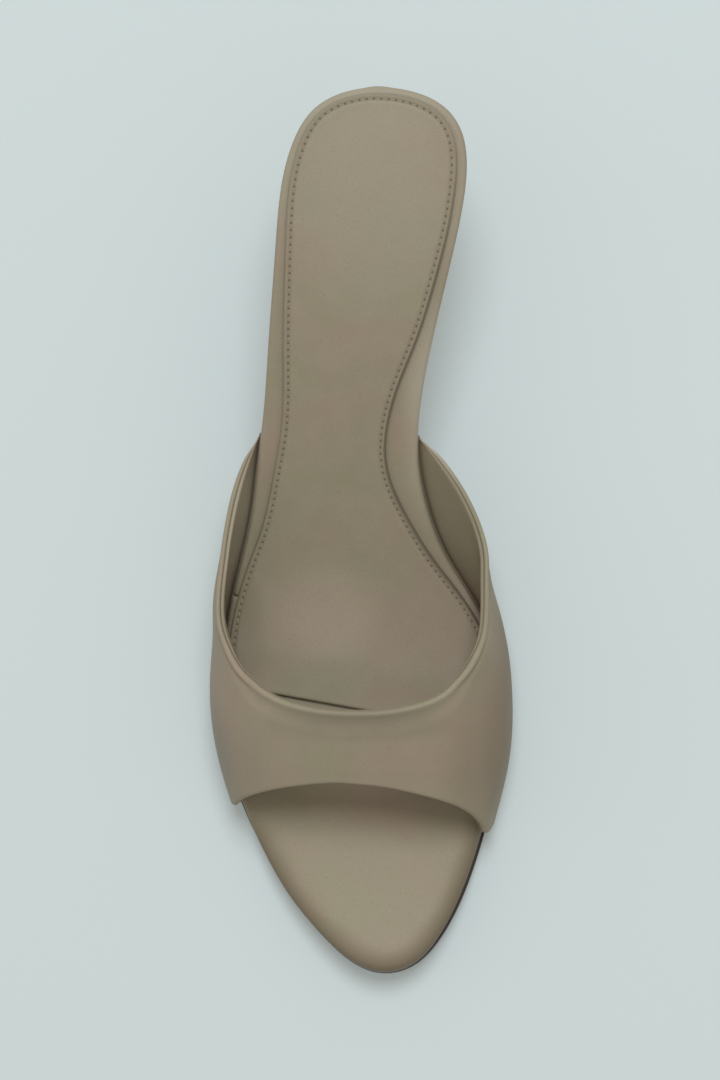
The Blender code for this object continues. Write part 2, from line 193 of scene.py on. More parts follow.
def turnRound(along):
    # 0 at the back of the heel, 1 at the tip of the toe, running evenly round both ends
    return math.acos(1 - 2 * min(max(along, 0.0), 1.0)) / math.pi


def outlineCurve():
    points = {}
    for along, outer, inner in outlineRows:
        at = turnRound(along)
        points[at], points[-at] = outer, inner
        if at > 0.7:
            points[2 - at], points[at - 2] = inner, outer
    return smoothCurve(sorted(points.items()))


outline = outlineCurve()
shank = smoothCurve(shankRows, startSlope=0.0)
topline = tableCurve(toplineRows, 1)
toeOpening = tableCurve(toeOpeningRows, 1)
marginTop = shoe["seamGap"] + shoe["upperThickness"]


def edgeAt(along, side):
    # x of the footbed's edge: side 1 is the inner one, -1 the outer one
    return shoe["ballWidth"] * outline(-side * turnRound(along))


def riseAt(along):
    if along < shoe["treadBack"]:
        return shoe["heelHeight"] * shank((shoe["treadBack"] - along) / shoe["treadBack"])
    if along > shoe["treadFront"]:
        return shoe["toeSpring"] * ((along - shoe["treadFront"]) / (1 - shoe["treadFront"])) ** 2
    return 0.0


def pitchAt(along):
    step = 0.001
    return (riseAt(along + step) - riseAt(along - step)) / (2 * step * shoe["length"])


def placeAt(x, along, height):
    # a point over the top of the outsole, measured square to the line of the shank
    outer, inner = (edgeAt(max(along, shoe["seatMiddle"]), side) for side in (-1, 1))
    halfWidth = max((inner - outer) / 2, shoe["seamGap"])  # no less than this where the outline closes
    across = min(abs(x - (outer + inner) / 2) / halfWidth, 1.0)
    dish = shoe["seatDish"] * easeInOut((shoe["dishEnd"] - along) / (shoe["dishEnd"] - shoe["dishFull"]))
    lean = pitchAt(along)
    square = height / math.sqrt(1 + lean * lean)
    y = lean * square - along * shoe["length"]
    z = shoe["outsoleThickness"] + riseAt(along) + dish * across**2 + square
    return Vector((x + shoe["middle"][0], y + shoe["middle"][1], z))


def squareUp(along):
    # the way up, square to the shank
    lean = pitchAt(along)
    return Vector((0.0, lean, 1.0)).normalized()


# Finishes

class Value:
    # A shader socket that can be reckoned with: each sum adds its own Math node.

    def __init__(self, tree, socket=None):
        self.tree, self.socket = tree, socket

    def node(self, kind, settings=None, sockets=None, output=0):
        made = self.tree.nodes.new(kind)
        for name, value in (settings or {}).items():
            setattr(made, name, value)
        for name, value in (sockets or {}).items():
            if isinstance(value, Value):
                self.tree.links.new(value.socket, made.inputs[name])
            else:
                made.inputs[name].default_value = value
        return Value(self.tree, made.outputs[output])

    def maths(self, operation, *parts):
        return self.node("ShaderNodeMath", {"operation": operation}, dict(enumerate(parts)))

    def __add__(self, other):
        return self.maths("ADD", self, other)

    def __radd__(self, other):
        return self.maths("ADD", other, self)

    def __sub__(self, other):
        return self.maths("SUBTRACT", self, other)

    def __rsub__(self, other):
        return self.maths("SUBTRACT", other, self)

    def __mul__(self, other):
        return self.maths("MULTIPLY", self, other)

    def __rmul__(self, other):
        return self.maths("MULTIPLY", other, self)

    def __truediv__(self, other):
        return self.maths("DIVIDE", self, other)

    def size(self):
        return self.maths("ABSOLUTE", self)

    def remainder(self):
        return self.maths("FRACT", self)

    def between(self, low, high):
        # 0 at low, 1 at high, with soft ends
        return self.node(
            "ShaderNodeMapRange",
            {"interpolation_type": "SMOOTHSTEP"},
            {"Value": self, "From Min": low, "From Max": high, "To Min": 0.0, "To Max": 1.0},
        )


def startFinish(name):
    # a material, its shader, a value to add nodes from, and the place of each point of the surface
    finish = bpy.data.materials.new(name)
    finish.use_nodes = True
    begin = Value(finish.node_tree)
    shader = finish.node_tree.nodes["Principled BSDF"]
    return finish, shader, begin, begin.node("ShaderNodeTexCoord", output=3)


def mixColours(begin, share, first, second):
    first, second = (part if isinstance(part, Value) else (*part, 1.0) for part in (first, second))
    settings = {"data_type": "RGBA", "clamp_factor": True}
    return begin.node("ShaderNodeMix", settings, {0: share, 6: first, 7: second}, output=2)


def noise(begin, where, scale, detail):
    return begin.node("ShaderNodeTexNoise", {}, {"Vector": where, "Scale": scale, "Detail": detail})


def vectorMaths(begin, operation, *parts, output=0):
    return begin.node("ShaderNodeVectorMath", {"operation": operation}, dict(enumerate(parts)), output)


def axisOf(begin, vector, index):
    # one of a vector's three numbers
    return begin.node("ShaderNodeSeparateXYZ", {}, {0: vector}, index)


def feed(begin, shader, socket, value):
    begin.tree.links.new(value.socket, shader.inputs[socket])


def feedRelief(begin, shader, height, strength, distance):
    sockets = {"Strength": strength, "Distance": distance, "Height": height}
    feed(begin, shader, "Normal", begin.node("ShaderNodeBump", {}, sockets))


def makeLeather(name, look, holesAndShade=None, toeShade=None):
    # smooth calf: soft patches of tone, some of them painted light and painted shade, fine pores and a low
    # sheen
    finish, shader, begin, where = startFinish(name)
    patches = noise(begin, where, look["patchScale"], 2.0)
    clouds = noise(begin, where, look["cloudScale"], 4.0)
    skin = noise(begin, where, look["skinScale"], 5.0)
    pores = begin.node("ShaderNodeTexVoronoi", {"feature": "DISTANCE_TO_EDGE"},
                       {"Vector": where, "Scale": look["poreScale"], "Randomness": 1.0})
    tone = mixColours(begin, patches.between(*look["patchRange"]), look["cool"], look["warm"])
    tone = mixColours(begin, clouds.between(*look["cloudRange"]) * look["cloudShare"], tone, look["light"])
    for middle, reach, share, colour in look["tonesAndPaintedLight"]:
        # a soft, slightly ragged patch that belongs to one place of the shoe: some are the leather's own
        # tone, others painted light and painted shade
        spot = vectorMaths(begin, "DIVIDE", vectorMaths(begin, "SUBTRACT", where, middle), reach)
        away = vectorMaths(begin, "LENGTH", spot, output=1) + (patches - 0.5) * look["ragged"]
        tone = mixColours(begin, (1 - away.between(look["markCore"], 1.0)) * share, tone, colour)
    # the line of the stitching: U runs along it, and V is the way in from the piece's edge
    line = begin.node("ShaderNodeUVMap", {"uv_map": "stitchLine"}) if holesAndShade or toeShade else None
    if toeShade:
        # the cover darkens softly towards the edge of the toe
        atToe = 1 - axisOf(begin, where, 1).between(toeShade["full"], toeShade["start"])
        near = 1 - axisOf(begin, line, 1).between(0.0, toeShade["reach"])
        tone = mixColours(begin, near * near * atToe * toeShade["share"], tone, toeShade["colour"])
    valley = 1 - pores.between(0.0, look["poreWidth"])
    tone = mixColours(begin, valley * look["poreShade"], tone, look["dark"])
    relief = pores.between(0.0, look["poreSlope"]) * look["poreDepth"] + skin * look["skinDepth"]
    if holesAndShade:
        # dark dots of painted shade where the needle went through, along the stitching, and a painted
        # shallow shade where it pulls the leather round them
        run, inset = axisOf(begin, line, 0), axisOf(begin, line, 1)
        step = (run / holesAndShade["pitch"]).remainder() - 0.5
        lengthways = (step * holesAndShade["pitch"]).size() / (holesAndShade["length"] / 2)
        across = (inset - holesAndShade["inset"]).size() / (holesAndShade["width"] / 2)
        hole = 1 - (lengthways * lengthways + across * across).between(*holesAndShade["rim"])
        tone = mixColours(begin, hole * holesAndShade["shade"], tone, holesAndShade["colour"])
        pull = 1 - across.between(0.0, holesAndShade["pullReach"])
        tone = mixColours(begin, pull * holesAndShade["pullShade"], tone, look["dark"])
        # the sock's edge lies in its own shade, most of all on the inner side of the waist
        shade = run.between(*holesAndShade["innerRun"]) * holesAndShade["innerShade"] + holesAndShade["edgeShade"]
        tone = mixColours(begin, (1 - inset.between(0.0, holesAndShade["edgeWidth"])) * shade, tone, holesAndShade["colour"])
        relief = relief - hole * holesAndShade["depth"]
    feed(begin, shader, "Base Color", tone)
    rough = (clouds - 0.5) * look["roughSpread"] + valley * look["poreRough"] + look["roughness"]
    feed(begin, shader, "Roughness", rough)
    feedRelief(begin, shader, relief, look["relief"], look["reliefHeight"])
    shader.inputs["Coat Weight"].default_value = look["coat"]
    shader.inputs["Coat Roughness"].default_value = look["coatRoughness"]
    shader.inputs["Specular IOR Level"].default_value = look["shine"]
    return finish


# Soft patches of tone, some of them painted light and painted shade: middle in the frame, reach along each
# axis, share, colour
pinkish, paintedShadeBrown, paintedShadeGrey = (0.345, 0.266, 0.206), (0.195, 0.145, 0.092), (0.235, 0.205, 0.165)
olive, paintedLight = (0.325, 0.292, 0.200), (0.430, 0.390, 0.300)
calfTonesAndPaintedLight = (
    ((0.0144, -0.0598, 0.033), (0.013, 0.013, 0.020), 0.50, pinkish),
    ((-0.0180, -0.0500, 0.032), (0.016, 0.012, 0.020), 0.50, pinkish),
    # painted shade on the vamp just in front of the throat's edge
    ((0.0030, -0.0492, 0.048), (0.036, 0.007, 0.020), 0.60, (0.235, 0.203, 0.148)),
    # painted light on the inner rim of the footbed, where the wing shades it
    ((0.0195, 0.0320, 0.040), (0.010, 0.046, 0.030), 0.75, paintedLight),
    # painted shade on the inner side of the vamp
    ((0.0330, -0.0560, 0.030), (0.016, 0.032, 0.030), 0.62, (0.270, 0.203, 0.148)),
    ((-0.0300, -0.0620, 0.024), (0.016, 0.022, 0.022), 0.50, (0.300, 0.243, 0.188)),
    # painted shade, with a cool tint of painted floor bounce, low on the outer wall
    ((-0.0370, -0.0518, 0.015), (0.010, 0.022, 0.022), 0.60, paintedShadeGrey),
    ((-0.0240, 0.0190, 0.035), (0.008, 0.022, 0.020), 0.55, pinkish),
    ((0.0000, -0.0950, 0.010), (0.030, 0.028, 0.020), 0.70, olive),
    # painted light on the rim round the heel
    ((0.0050, 0.0950, 0.060), (0.040, 0.050, 0.018), 0.60, paintedLight),
    # painted shade over the inner wall of the vamp
    ((0.0430, -0.0450, 0.018), (0.013, 0.062, 0.040), 0.62, paintedShadeBrown),
)
calf = {
    "cool": (0.300, 0.270, 0.184),
    "warm": (0.332, 0.264, 0.194),
    "light": (0.345, 0.306, 0.226),
    "dark": (0.140, 0.112, 0.072),
    "patchScale": 42.0,
    "patchRange": (0.36, 0.64),
    "cloudScale": 160.0,
    "cloudRange": (0.30, 0.75),
    "cloudShare": 0.30,
    "poreScale": 1500.0,
    "poreWidth": 0.10,
    "poreSlope": 0.16,
    "poreShade": 0.16,
    "poreDepth": 0.6,
    "skinScale": 2600.0,
    "skinDepth": 0.8,
    "roughness": 0.54,
    "roughSpread": 0.10,
    "poreRough": 0.08,
    "shine": 0.26,
    "relief": 0.35,
    "reliefHeight": 0.00005,
    "coat": 0.03,
    "coatRoughness": 0.35,
    "tonesAndPaintedLight": calfTonesAndPaintedLight,
    "markCore": 0.25,   # share of a mark's reach with its full tone
    "ragged": 0.5,
}
sockCalf = dict(
    calf, cool=(0.290, 0.262, 0.180), warm=(0.318, 0.254, 0.186), roughness=0.57, poreScale=1350.0,
    tonesAndPaintedLight=(
        # a pink tone on the ball, partly real tone and partly painted light
        ((-0.0104, -0.0199, 0.012), (0.024, 0.020, 0.020), 0.60, (0.420, 0.335, 0.260)),
        # painted light on the heel seat
        ((0.0050, 0.0900, 0.060), (0.034, 0.050, 0.020), 0.55, (0.345, 0.310, 0.232)),
        # painted shade beside the outer wing
        ((-0.0345, -0.0280, 0.011), (0.010, 0.032, 0.020), 0.50, (0.225, 0.190, 0.132)),
    ))
# The lining: a darker copy of the calf, painted shade for the inside of the wall
shadedLiningCalf = dict(
    calf, cool=(0.262, 0.230, 0.156), warm=(0.280, 0.226, 0.160), light=(0.29, 0.252, 0.180),
    roughness=0.62, coat=0.0,
    # painted light on the inner face of the outer wing
    tonesAndPaintedLight=(((-0.0340, 0.0040, 0.024), (0.012, 0.034, 0.030), 0.85, (0.385, 0.345, 0.255)),))
toeShade = {
    "full": -0.086,   # y of its full shade and of its start
    "start": -0.070,
    "reach": 0.0090,
    "share": 0.75,
    "colour": (0.150, 0.116, 0.074),
}

stitching = {
    "pitch": 0.00195,
    "length": 0.00150,
    "width": 0.00044,
    "height": 0.00030,
    "inset": 0.00140,      # from the sock's edge to the stitches
    "rise": 0.10,          # how far a stitch stands up, in shares of its height
    "stopShort": 0.0035,   # of the front corners
}
# Painted shade at the stitching: dark dots where the needle went through, a shallow shade where it pulls,
# and a line along the sock's edge
needleHolesAndShade = {
    "pitch": stitching["pitch"],
    "inset": stitching["inset"],
    "length": 0.00070,
    "width": 0.00068,
    "shade": 0.66,
    "colour": (0.085, 0.070, 0.044),
    "rim": (0.35, 1.5),
    "depth": 4.0,
    "pullReach": 3.2,
    "pullShade": 0.16,
    "edgeWidth": 0.0007,
    "edgeShade": 0.15,
    "innerShade": 0.45,         # more at the edge on the inner side, from here to here
    "innerRun": (0.02, 0.06),   # along the stitching from the back
}

calfFinish = makeLeather("taupeCalf", calf)
footbedFinish = makeLeather("footbedCalf", calf, toeShade=toeShade)
sockFinish = makeLeather("stitchedSockCalf", sockCalf, needleHolesAndShade)
shadedLiningFinish = makeLeather("shadedLiningCalf", shadedLiningCalf)


def makeThread(name, look):
    # waxed thread, twisted along the stitch
    finish, shader, begin, where = startFinish(name)
    ply = begin.node("ShaderNodeTexWave", {"bands_direction": "DIAGONAL"},
                     {"Vector": where, "Scale": look["plyScale"], "Distortion": 2.0})
    light = tuple(part * look["lighter"] for part in look["colour"])
    feed(begin, shader, "Base Color", mixColours(begin, ply, look["colour"], light))
    feedRelief(begin, shader, ply, 0.4, look["reliefHeight"])
    shader.inputs["Roughness"].default_value = look["roughness"]
    return finish


threadFinish = makeThread("taupeThread", {
    "colour": (0.250, 0.224, 0.158), "lighter": 1.25, "plyScale": 900.0, "reliefHeight": 0.00004,
    "roughness": 0.55})


def makeSoleLeather(name, look):
    # dyed sole leather: a fine streaky fibre, smooth all over
    finish, shader, begin, where = startFinish(name)
    stretched = begin.node("ShaderNodeMapping", {}, {"Vector": where, "Scale": look["stretch"]})
    fibre = noise(begin, stretched, look["fibreScale"], 6.0)
    patches = noise(begin, where, look["patchScale"], 3.0)
    tone = mixColours(begin, fibre.between(0.3, 0.7) * 0.6 + patches * 0.4, look["dark"], look["light"])
    feed(begin, shader, "Base Color", tone)
    feed(begin, shader, "Roughness", patches * 0.18 + fibre * 0.10 + look["roughness"])
    feedRelief(begin, shader, fibre, 0.3, look["reliefHeight"])
    return finish


soleFinish = makeSoleLeather("darkSoleLeather", {
    "dark": (0.024, 0.012, 0.008), "light": (0.052, 0.027, 0.018), "stretch": (1.0, 0.25, 3.0),
    "fibreScale": 900.0, "patchScale": 60.0, "reliefHeight": 0.00005, "roughness": 0.28})


def makeRubber(name, look):
    # hard rubber: a fine grain under soft scuffs
    finish, shader, begin, where = startFinish(name)
    specks = noise(begin, where, look["speckScale"], 3.0)
    scuffs = noise(begin, where, look["scuffScale"], 5.0)
    light = tuple(part * look["lighter"] for part in look["colour"])
    feed(begin, shader, "Base Color", mixColours(begin, scuffs.between(0.35, 0.8), look["colour"], light))
    feed(begin, shader, "Roughness", scuffs * 0.2 + look["roughness"])
    feedRelief(begin, shader, specks, 0.4, look["reliefHeight"])
    return finish


rubberFinish = makeRubber("darkRubber", {
    "colour": (0.022, 0.016, 0.013), "lighter": 1.9, "speckScale": 3200.0, "scuffScale": 240.0,
    "reliefHeight": 0.00004, "roughness": 0.5})
print("finishes made")


# Making the pieces

def windGrid(columns, rows, pointAt, seamMap=None, finishOf=None):
    # A grid of faces whose corners are carried to pointAt(column, row). Where the ends meet, or
    # a row closes up, the doubles are merged.
    mesh = bmesh.new()
    bmesh.ops.create_grid(mesh, x_segments=columns, y_segments=rows, size=0.5)
    spot = {}
    for vert in mesh.verts:
        spot[vert] = (round((vert.co.x + 0.5) * columns), round((vert.co.y + 0.5) * rows))
    if seamMap:
        layer = mesh.loops.layers.uv.new("stitchLine")
        for face in mesh.faces:
            for corner in face.loops:
                corner[layer].uv = seamMap(*spot[corner.vert])
    if finishOf:
        for face in mesh.faces:
            face.material_index = finishOf(min(spot[vert][1] for vert in face.verts))
    for vert in mesh.verts:
        vert.co = pointAt(*spot[vert])
    bmesh.ops.remove_doubles(mesh, verts=mesh.verts, dist=1e-6)
    bmesh.ops.recalc_face_normals(mesh, faces=mesh.faces)
    return mesh


def makeObject(name, mesh, finishes):
    data = bpy.data.meshes.new(name)
    mesh.to_mesh(data)
    mesh.free()
    for finish in finishes:
        data.materials.append(finish)
    made = bpy.data.objects.new(name, data)
    scene.collection.objects.link(made)
    return made


def addPiece(name, mesh, finishes, node=None, sharpAngle=50):
    piece = makeObject(name, mesh, finishes)
    piece.data.shade_smooth()
    piece.data.set_sharp_from_angle(angle=math.radians(sharpAngle))
    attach(piece, "root")
    if node:
        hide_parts(node)
    print(name, "made,", len(piece.data.polygons), "faces")
    return piece


def insetRing(ring, insets):
    # the closed plan of (x, along) points with each of its edges moved inwards by its own inset
    nearlyStraight = 0.9  # cosine of a bend over which both edges' insets are averaged
    normals = []
    for (x0, along0), (x1, along1) in zip(ring, ring[1:] + ring[:1]):
        normals.append(Vector(((along1 - along0) * shoe["length"], x0 - x1)).normalized())
    moved = []
    for i, (x, along) in enumerate(ring):
        before, after = normals[i - 1], normals[i]
        bend = before.dot(after)
        if bend > nearlyStraight:
            shift = (before + after) * (insets[i - 1] + insets[i]) / 2 / (1 + bend)
        else:
            shift = before * (insets[i - 1] - insets[i] * bend) + after * (insets[i] - insets[i - 1] * bend)
            shift /= 1 - bend * bend
        moved.append((x + shift.x, along + shift.y / shoe["length"]))
    return moved


endSteps = 24  # edges across a straight end of a plan


def planRing(outer, inner, spineEnds, hollows=(0.0, 0.0)):
    # A closed plan from the outer edge's points, heel to toe, and back along the inner edge's.
    # It keeps (along, side) for each of its edges, its straight ends, and the point of the spine
    # that each corner faces.
    last = len(outer) - 1
    points = [(outer[i], i) for i in range(last + 1)]
    closed = [math.dist(outer[i], inner[i]) < 1e-6 for i in (0, last)]
    ends = []

    def addEnd(i, start, end, hollow):
        ends.append((len(points) - 1, hollow))
        for k in range(1, endSteps):
            points.append((betweenPoints(start, end, k / endSteps), i))

    if not closed[1]:
        addEnd(last, outer[last], inner[last], hollows[1])
    points += [(inner[i], i) for i in range(last - closed[1], closed[0] - 1, -1)]
    if not closed[0]:
        addEnd(0, inner[0], outer[0], hollows[0])
    edges = []
    for (start, i), (end, j) in zip(points, points[1:] + points[:1]):
        edges.append(((start[1] + end[1]) / 2, 0 if i == j else -1 if j > i else 1))
    facing = [min(max(i, spineEnds[0]), last - spineEnds[1]) for point, i in points]
    spine = [betweenPoints(outer[i], inner[i], 0.5) for i in facing]
    ring = hollowEnds([point for point, i in points], ends)
    return {"ring": ring, "edges": edges, "ends": ends, "spine": spine}


def betweenPoints(start, end, share):
    return tuple(a + (b - a) * share for a, b in zip(start, end))


def hollowEnds(ring, ends):
    # spaces the corners of each straight end evenly and hollows it
    for first, hollow in ends:
        start, end = ring[first], ring[(first + endSteps) % len(ring)]
        for k in range(1, endSteps):
            x, along = betweenPoints(start, end, k / endSteps)
            ring[first + k] = (x, along + hollow * math.sin(math.pi * k / endSteps))
    return ring


def movedRing(plan, inset):
    ring = insetRing(plan["ring"], [inset(*edge) for edge in plan["edges"]])
    return hollowEnds(ring, plan["ends"])


def ringRows(ringAt, spine, levels):
    # Each level is (inset of an edge by along and side, share of the way to the spine, where).
    rows = []
    for inset, share, where in levels:
        moved = [betweenPoints(point, middle, share) for point, middle in zip(ringAt(inset), spine)]
        rows.append([where(x, along, k) for k, (x, along) in enumerate(moved)])
    return rows


def plannedRows(plan, levels):
    return ringRows(lambda inset: movedRing(plan, inset), plan["spine"], levels)


def windRing(rows, seamMap=None):
    around = len(rows[0])
    return windGrid(around, len(rows) - 1, lambda column, row: rows[row][column % around], seamMap)


def flush(inset):
    return lambda along, side: inset


def level(height):
    return lambda x, along, k: placeAt(x, along, height)


def roundOver(radius, topHeight, steps, inset, where=level):
    # levels of a quarter round at the edge of a board, from its flat to its side
    made = []
    for k in range(steps + 1):
        angle = math.pi / 2 * k / steps
        inwards, down = radius * (1 - math.sin(angle)), radius * (1 - math.cos(angle))
        made.append((inset(inwards), 0.0, where(topHeight - down)))
    return made


def roundUnder(radius, inset, where):
    # levels of a quarter round at the lower edge, from the side to the flat below it
    made = []
    for angle in (0.0, 30.0, 60.0, 90.0):
        turned = math.radians(angle)
        made.append((inset(radius * (1 - math.cos(turned))), 0.0, where(radius * (1 - math.sin(turned)))))
    return made


# The rows of a board's top run in from its edge by these shares, to a spine along its middle
spineShares = (1.0, 0.88, 0.75, 0.62, 0.50, 0.39, 0.30, 0.23, 0.17, 0.12, 0.08, 0.04)
spineFrom, spineTo = 0.06, 0.94  # shares of the length between which the spine lies


# Footbed
footbed = {
    "thickness": 0.0062,
    "edgeRound": 0.0014,
    "underRound": 0.00056,
    "ribs": 170,
    "toeFall": 0.0017,           # how far the cover falls away towards the toe's edge
    "toeFallReach": {-1: 0.0088, 1: 0.0062},  # on the outer and on the inner side
    "toeFallTurn": 0.010,        # the one reach passes to the other within this much of x = 0
    "toeFallStart": 0.77,
    "toeFallFull": 0.85,
    "foldAlong": 0.558,          # a small tuck in the cover on the outer rim
    "foldDepth": 0.0014,
    "foldWidth": 0.0007,
    "foldReach": 0.0028,
    "pocketStep": 0.00001,       # share of the length in which a pocket's end steps up
}
footbedBottom = shoe["seamGap"]
footbedTop = footbedBottom + footbed["thickness"]


def marginPocket(side):
    # room under the footbed's edge for the upper's lasting margin: where it starts and ends
    around, gap = (0.0 if side > 0 else 1.0), shoe["seamGap"] / shoe["length"]
    return topline(around) - gap, toeOpening(around) + gap


def makeFootbed():
    pockets = {side: marginPocket(side) for side in (-1, 1)}
    pocketDepth, pocketRoof = shoe["lastingMargin"] + shoe["seamGap"], marginTop + shoe["seamGap"]
    alongs = [(1 - math.cos(math.pi * i / footbed["ribs"])) / 2 for i in range(footbed["ribs"] + 1)]
    for pocket in pockets.values():
        for end in pocket:
            alongs += [end - footbed["pocketStep"], end + footbed["pocketStep"]]
    for step in (-1.0, -0.6, -0.3, 0.0, 0.3, 0.6, 1.0):
        alongs.append(footbed["foldAlong"] + step * footbed["foldWidth"] / shoe["length"])
    alongs = sorted(alongs)
    sides = [[(edgeAt(along, side), along) for along in alongs] for side in (-1, 1)]
    spineEnds = sum(along < spineFrom for along in alongs), sum(along > spineTo for along in alongs)
    plan = planRing(*sides, spineEnds)
    ring, spine = plan["ring"], plan["spine"]
    count = len(alongs)
    top, bottom = footbedTop, footbedBottom

    def pocketed(k):
        side = -1 if k < count else 1
        first, last = pockets[side]
        return first < ring[k][1] < last

    def wayIn(x, along, k):
        # how far in from the edge a corner of the top lies
        return math.hypot(x - ring[k][0], (along - ring[k][1]) * shoe["length"])

    def shaped(x, along, height, k):
        # the cover rolls over softly at the toe, and a tuck runs across its outer rim
        away = wayIn(x, along, k)
        start, end = footbed["toeFallStart"], footbed["toeFallFull"]
        full = easeInOut((along - start) / (end - start))
        inwards = easeInOut((x + footbed["toeFallTurn"]) / (2 * footbed["toeFallTurn"]))
        reach = footbed["toeFallReach"][-1] * (1 - inwards) + footbed["toeFallReach"][1] * inwards
        depth = footbed["toeFall"] * full * max(1 - away / reach, 0.0) ** 2
        if k < count:
            near = bump((ring[k][1] - footbed["foldAlong"]) * shoe["length"], 0.0, footbed["foldWidth"])
            depth += footbed["foldDepth"] * near * (1 - easeInOut(away / footbed["foldReach"]))
        return placeAt(x, along, height - depth)

    def topLevel(height):
        return lambda x, along, k: shaped(x, along, height, k)

    levels = [(flush(footbed["edgeRound"]), share, topLevel(top)) for share in spineShares]
    levels += roundOver(footbed["edgeRound"], top, 7, flush, where=topLevel)
    topLevels = len(levels)

    def under(lift):
        return lambda x, along, k: placeAt(x, along, pocketRoof if pocketed(k) else bottom + lift)

    def shelf(roof):
        # the inner wall of the pocket, straight in from the edge
        def where(x, along, k):
            side = -1 if k < count else 1
            if pocketed(k):
                return placeAt(ring[k][0] - side * pocketDepth, ring[k][1], roof)
            return placeAt(*betweenPoints((x, along), spine[k], 0.3), bottom)
        return (flush(radius), 0.0, where)

    radius = footbed["underRound"]
    levels += roundUnder(radius, flush, under)
    levels += [shelf(pocketRoof), shelf(bottom)]
    levels += [(flush(radius), share, level(bottom)) for share in (0.6, 0.8, 1.0)]

    # for the finish, V is the way in from the edge over the top
    depths = plannedRows(plan, [(inset, share, wayIn) for inset, share, where in levels[:topLevels]])

    def seamMap(column, row):
        return (0.0, depths[row][column % len(ring)] if row < topLevels else 0.0)

    mesh = windRing(plannedRows(plan, levels), seamMap)
    return addPiece("footbedCover", mesh, [footbedFinish], "footbed")


makeFootbed()

# Sock

# Footbed left bare round the sock: share of the length, outer and inner rim in shares of the
# ball's width
rimRows = (
    (0.00, 0.020, 0.021),
    (0.10, 0.027, 0.033),
    (0.16, 0.034, 0.033),
    (0.21, 0.041, 0.038),
    (0.27, 0.052, 0.054),
    (0.32, 0.063, 0.086),
    (0.36, 0.068, 0.106),
    (0.39, 0.065, 0.111),
    (0.42, 0.059, 0.099),
    (0.45, 0.051, 0.076),
    (0.48, 0.041, 0.054),
    (0.51, 0.028, 0.036),
    (0.54, 0.021, 0.024),
    (0.58, 0.018, 0.019),
    (0.74, 0.018, 0.019),
)
sock = {
    "thickness": 0.0016,
    "edgeRound": 0.0007,
    "frontOuter": 0.668,
    "frontInner": 0.725,
    "ribs": 330,
    "across": 60,
    "planSteps": 300,
    "runOn": 0.05,            # share of the length that its plan runs on past the front
    "troughDepth": 0.00030,   # pulled down by the stitches
    "troughReach": 0.00100,
    "crown": 0.00060,         # the padding's swell inside the stitches
    "crownReach": 0.0130,
    "pullStart": 0.0012,      # the stitches pull this far from the front edge and further
    "pullGrowth": 0.003,
    "fill": 0.5,
}
sockBottom = footbedTop + shoe["seamGap"]
sockTop = sockBottom + sock["thickness"]
rims = {-1: tableCurve(rimRows, 1), 1: tableCurve(rimRows, 2)}


def sockPlan():
    # Its plan runs on past the front and is cut there, so the corners stay sharp however far in
    # a row of the surface lies.
    count, across, steps = sock["ribs"], sock["across"], sock["planSteps"]
    longest = sock["frontInner"] + sock["runOn"]
    alongs = [longest * (1 - math.cos(math.pi / 2 * i / steps)) for i in range(steps + 1)]
    sides = [[(edgeAt(along, side), along) for along in alongs] for side in (-1, 1)]
    long = planRing(*sides, (0, 0))
    fronts = ((-1, sock["frontOuter"]), (1, sock["frontInner"]))
    (x0, y0), (x1, y1) = [(edgeAt(along, side), along * shoe["length"]) for side, along in fronts]
    forwards = Vector((y0 - y1, x1 - x0)).normalized()

    def ringAt(inset):
        moved = movedRing(long, inset)
        outer = moved[:steps + 1]
        inner = (moved[steps + endSteps:] + moved[:1])[::-1]
        back = inset(0.0, 0)
        cut = []
        for line in (outer, inner):
            line = [Vector((x, along * shoe["length"])) for x, along in line]
            reach = [(point - Vector((x0, y0))).dot(forwards) + back for point in line]
            last = next(i for i, past in enumerate(reach) if past > 0)
            share = reach[last - 1] / (reach[last - 1] - reach[last])
            line = line[:last] + [line[last - 1].lerp(line[last], share)]
            cut.append([(point.x, point.y / shoe["length"]) for point in spacedEvenly(line, count)])
        front = [betweenPoints(cut[0][-1], cut[1][-1], k / across) for k in range(1, across)]
        return cut[0] + front + cut[1][:0:-1]

    ring = ringAt(lambda along, side: shoe["ballWidth"] * rims[side](along) if side else 0.0)
    spine = []
    for k in range(len(ring)):
        i = k if k <= count else count if k < count + across else len(ring) - k
        i = min(max(i, round(count * 0.15)), round(count * 0.93))
        spine.append(betweenPoints(ring[i], ring[-i], 0.5))
    return ringAt, ring, spine


def spacedEvenly(line, count):
    # the same line through count + 1 evenly spaced points
    lengths = [0.0]
    for before, after in zip(line, line[1:]):
        lengths.append(lengths[-1] + (after - before).length)
    spaced = []
    for i in range(count):
        target = lengths[-1] * i / count
        k = min(bisect.bisect_right(lengths, target), len(line) - 1)
        step = lengths[k] - lengths[k - 1]
        spaced.append(line[k - 1].lerp(line[k], (target - lengths[k - 1]) / step))
    return spaced + [line[-1]]


